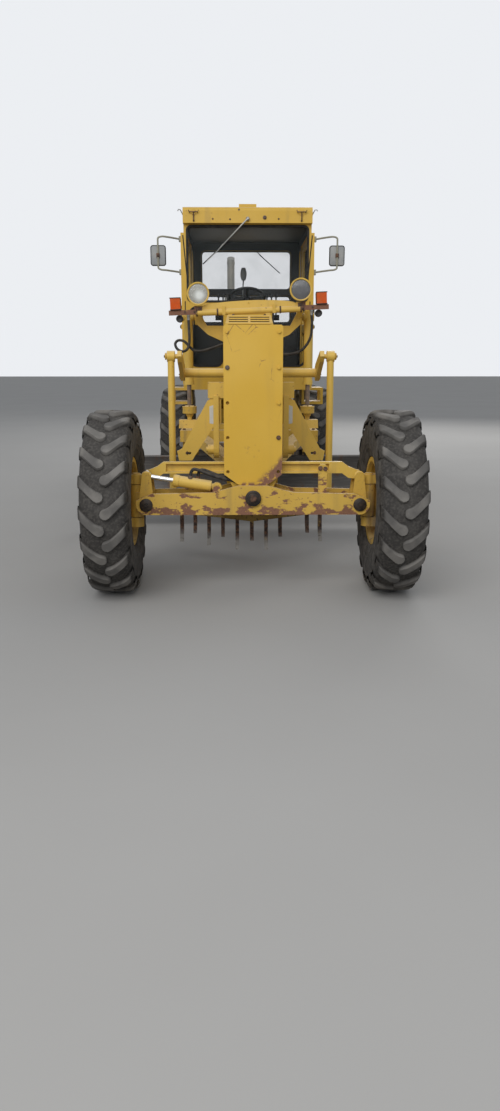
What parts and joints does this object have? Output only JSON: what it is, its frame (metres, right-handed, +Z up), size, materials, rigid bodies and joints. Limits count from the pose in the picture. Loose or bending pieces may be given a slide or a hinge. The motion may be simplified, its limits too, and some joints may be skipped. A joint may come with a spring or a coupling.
{
  "type": "motor grader",
  "caption": "Motor grader with leaning, steering front wheels, a front scarifier, a lifting and turning blade, an enclosed cab and tandem drive wheels.",
  "frame": {"origin": "on the ground, under the middle of the machine's bounding box", "axes": "+Z up, -Y towards the front of the machine, +X to the right of someone who looks along +Y from in front of it"},
  "size_m": [3.3, 8.345, 3.3],
  "materials": {
    "yellow_paint": "faded, scratched and rust-flecked",
    "rusty_paint": "paint worn through to rust",
    "rusty_steel": "rusty, bright at the worn tips",
    "worn_steel": "dull, scratched along its length",
    "grey_iron": "dusty and oily",
    "rod_chrome": "polished",
    "tyre_rubber": "dusty",
    "black_paint": "satin",
    "hose_rubber": "matt",
    "seat_vinyl": "creased",
    "lamp_yellow": "faded",
    "cab_glass": "clear, lightly dusty"
  },
  "bodies": {
    "front_frame": {"main_frame": "yellow_paint", "nose_plate": "yellow_paint", "axle_beam": "rusty_paint", "scarifier_hanger": "yellow_paint", "valve_cover": "yellow_paint", "lift_saddle": "yellow_paint", "light_bar": "yellow_paint", "lamps": "lamp_yellow", "cab_floor": "yellow_paint", "cab_frame": "yellow_paint", "cab_roof": "yellow_paint", "cab_glass": "cab_glass", "cab_fittings": "black_paint", "seat_pad": "seat_vinyl", "mirrors": "yellow_paint", "hoses": "hose_rubber"},
    "door_left": {"door_left": "yellow_paint", "door_glass_left": "cab_glass"},
    "door_right": {"door_right": "yellow_paint", "door_glass_right": "cab_glass"},
    "housing_left": {"lean_housing_left": "yellow_paint"},
    "housing_right": {"lean_housing_right": "yellow_paint"},
    "lean_bar": {"lean_bar": "yellow_paint"},
    "lean_barrel": {"lean_barrel": "yellow_paint"},
    "lean_rod": {"lean_rod": "rod_chrome"},
    "knuckle_left": {"knuckle_left": "yellow_paint"},
    "knuckle_right": {"knuckle_right": "yellow_paint"},
    "tie_rod_end": {"tie_rod_end": "grey_iron"},
    "tie_rod": {"tie_rod": "grey_iron"},
    "wheel_front_left": {"tyre_front_left": "tyre_rubber", "rim_front_left": "yellow_paint"},
    "wheel_front_right": {"tyre_front_right": "tyre_rubber", "rim_front_right": "yellow_paint"},
    "wheel_mid_left": {"tyre_mid_left": "tyre_rubber", "rim_mid_left": "yellow_paint"},
    "wheel_mid_right": {"tyre_mid_right": "tyre_rubber", "rim_mid_right": "yellow_paint"},
    "wheel_rear_left": {"tyre_rear_left": "tyre_rubber", "rim_rear_left": "yellow_paint"},
    "wheel_rear_right": {"tyre_rear_right": "tyre_rubber", "rim_rear_right": "yellow_paint"},
    "drawbar": {"drawbar": "yellow_paint"},
    "lift_barrels": {"lift_barrels": "yellow_paint"},
    "lift_rods": {"lift_rods": "rod_chrome"},
    "circle": {"circle": "worn_steel", "blade": "worn_steel", "cutting_edge": "worn_steel"},
    "scarifier": {"scarifier_beam": "rusty_steel"},
    "scarifier_levers": {"scarifier_levers": "yellow_paint"},
    "scarifier_links": {"scarifier_links": "yellow_paint"},
    "rear_frame": {"rear_frame": "yellow_paint", "tandem_cases": "yellow_paint", "engine_block": "grey_iron", "engine_hood": "yellow_paint", "radiator_grille": "black_paint", "exhaust_stack": "rusty_steel"},
    "articulation_barrel_left": {"articulation_barrel_left": "yellow_paint"},
    "articulation_barrel_right": {"articulation_barrel_right": "yellow_paint"},
    "articulation_rod_left": {"articulation_rod_left": "rod_chrome"},
    "articulation_rod_right": {"articulation_rod_right": "rod_chrome"}
  },
  "joints": [
    {"name": "door_left_hinge", "type": "hinge", "parent": "front_frame", "child": "door_left", "pos_m": [-0.714, 0.5485, 2.25], "axis": [0, 0, -1], "range_deg": [0, 80]},
    {"name": "door_right_hinge", "type": "hinge", "parent": "front_frame", "child": "door_right", "pos_m": [0.714, 0.5485, 2.25], "axis": [0, 0, 1], "range_deg": [0, 80]},
    {"name": "wheel_lean", "type": "hinge", "parent": "front_frame", "child": "housing_left", "pos_m": [-0.795, -3.4875, 0.68], "axis": [0, -1, 0], "range_deg": [-18, 18]},
    {"name": "wheel_lean_right", "type": "hinge", "parent": "front_frame", "child": "housing_right", "pos_m": [0.795, -3.4875, 0.68], "axis": [0, -1, 0], "range_deg": [-18, 18]},
    {"name": "lean_bar_pin", "type": "hinge", "parent": "housing_left", "child": "lean_bar", "pos_m": [-0.795, -3.4625, 0.885], "axis": [0, -1, 0], "range_deg": [-18, 18]},
    {"name": "lean_barrel_pin", "type": "hinge", "parent": "front_frame", "child": "lean_barrel", "pos_m": [-0.27, -3.55, 0.8], "axis": [0, -1, 0], "range_deg": [-2, 2]},
    {"name": "lean_rod_slide", "type": "slide", "parent": "lean_barrel", "child": "lean_rod", "axis": [-0.9871, 0, 0.1598], "range_m": [-0.07, 0.07]},
    {"name": "steering", "type": "hinge", "parent": "housing_left", "child": "knuckle_left", "pos_m": [-0.88, -3.4875, 0.685], "axis": [0, 0, 1], "range_deg": [-33, 33]},
    {"name": "steering_right", "type": "hinge", "parent": "housing_right", "child": "knuckle_right", "pos_m": [0.88, -3.4875, 0.685], "axis": [0, 0, 1], "range_deg": [-33, 33]},
    {"name": "tie_rod_end_pin", "type": "hinge", "parent": "knuckle_left", "child": "tie_rod_end", "pos_m": [-0.88, -3.2945, 0.53], "axis": [0, 0, 1], "range_deg": [-33, 33]},
    {"name": "tie_rod_ball", "type": "hinge", "parent": "tie_rod_end", "child": "tie_rod", "pos_m": [-0.88, -3.2945, 0.588], "axis": [0, -1, 0], "range_deg": [-18, 18]},
    {"name": "wheel_front_left_spin", "type": "hinge", "parent": "knuckle_left", "child": "wheel_front_left", "pos_m": [-1.045, -3.4875, 0.685], "axis": [1, 0, 0], "continuous": true},
    {"name": "wheel_front_right_spin", "type": "hinge", "parent": "knuckle_right", "child": "wheel_front_right", "pos_m": [1.045, -3.4875, 0.685], "axis": [1, 0, 0], "continuous": true},
    {"name": "wheel_mid_left_spin", "type": "hinge", "parent": "rear_frame", "child": "wheel_mid_left", "pos_m": [-0.9425, 1.7125, 0.685], "axis": [1, 0, 0], "continuous": true},
    {"name": "wheel_mid_right_spin", "type": "hinge", "parent": "rear_frame", "child": "wheel_mid_right", "pos_m": [0.9425, 1.7125, 0.685], "axis": [1, 0, 0], "continuous": true},
    {"name": "wheel_rear_left_spin", "type": "hinge", "parent": "rear_frame", "child": "wheel_rear_left", "pos_m": [-0.9425, 3.2325, 0.685], "axis": [1, 0, 0], "continuous": true},
    {"name": "wheel_rear_right_spin", "type": "hinge", "parent": "rear_frame", "child": "wheel_rear_right", "pos_m": [0.9425, 3.2325, 0.685], "axis": [1, 0, 0], "continuous": true},
    {"name": "drawbar_lift", "type": "hinge", "parent": "front_frame", "child": "drawbar", "pos_m": [0, -3.1875, 0.82], "axis": [1, 0, 0], "range_deg": [-3, 5.5]},
    {"name": "lift_trunnions", "type": "hinge", "parent": "front_frame", "child": "lift_barrels", "pos_m": [0, -1.1375, 2.15], "axis": [1, 0, 0], "range_deg": [-4, 2]},
    {"name": "lift_rod_slide", "type": "slide", "parent": "lift_barrels", "child": "lift_rods", "axis": [0, 0, -1], "range_m": [-0.21, 0.12]},
    {"name": "circle_turn", "type": "hinge", "parent": "drawbar", "child": "circle", "pos_m": [0, -0.9875, 0.9], "axis": [0, 0, 1], "continuous": true},
    {"name": "scarifier_lift", "type": "hinge", "parent": "front_frame", "child": "scarifier", "pos_m": [0, -3.1575, 0.68], "axis": [1, 0, 0], "range_deg": [-20, 5]},
    {"name": "scarifier_shaft", "type": "hinge", "parent": "front_frame", "child": "scarifier_levers", "pos_m": [0, -2.1675, 1.62], "axis": [1, 0, 0], "range_deg": [-10, 32]},
    {"name": "scarifier_link_pins", "type": "hinge", "parent": "scarifier_levers", "child": "scarifier_links", "pos_m": [0, -2.5675, 1.76], "axis": [1, 0, 0], "range_deg": [-36, 12]},
    {"name": "articulation", "type": "hinge", "parent": "front_frame", "child": "rear_frame", "pos_m": [0, 1.1125, 1.26], "axis": [0, 0, 1], "range_deg": [-20, 20]},
    {"name": "articulation_barrel_left_pin", "type": "hinge", "parent": "front_frame", "child": "articulation_barrel_left", "pos_m": [-0.33, 0.4125, 1.22], "axis": [0, 0, 1], "range_deg": [-10, 10]},
    {"name": "articulation_rod_left_slide", "type": "slide", "parent": "articulation_barrel_left", "child": "articulation_rod_left", "axis": [-0.0866, 0.9962, 0], "range_m": [-0.15, 0.15]},
    {"name": "articulation_barrel_right_pin", "type": "hinge", "parent": "front_frame", "child": "articulation_barrel_right", "pos_m": [0.33, 0.4125, 1.22], "axis": [0, 0, 1], "range_deg": [-10, 10]},
    {"name": "articulation_rod_right_slide", "type": "slide", "parent": "articulation_barrel_right", "child": "articulation_rod_right", "axis": [0.0866, 0.9962, 0], "range_m": [-0.15, 0.15]}
  ],
  "couplings": [
    {"joint": "wheel_lean_right", "follows": "wheel_lean", "ratio": 1},
    {"joint": "lean_bar_pin", "follows": "wheel_lean", "ratio": -1},
    {"joint": "lean_barrel_pin", "follows": "wheel_lean", "ratio": 0.054},
    {"joint": "lean_rod_slide", "follows": "wheel_lean", "m_per_rad": 0.2},
    {"joint": "steering_right", "follows": "steering", "ratio": 1},
    {"joint": "tie_rod_end_pin", "follows": "steering", "ratio": -1},
    {"joint": "tie_rod_ball", "follows": "wheel_lean", "ratio": -0.9045},
    {"joint": "lift_trunnions", "follows": "drawbar_lift", "ratio": -0.55},
    {"joint": "lift_rod_slide", "follows": "drawbar_lift", "m_per_rad": -2.03},
    {"joint": "scarifier_shaft", "follows": "scarifier_lift", "ratio": -1.18},
    {"joint": "scarifier_link_pins", "follows": "scarifier_lift", "ratio": 1.27},
    {"joint": "articulation_barrel_left_pin", "follows": "articulation", "ratio": 0.419},
    {"joint": "articulation_barrel_right_pin", "follows": "articulation", "ratio": 0.419},
    {"joint": "articulation_rod_left_slide", "follows": "articulation", "m_per_rad": -0.387},
    {"joint": "articulation_rod_right_slide", "follows": "articulation", "m_per_rad": 0.387}
  ]
}
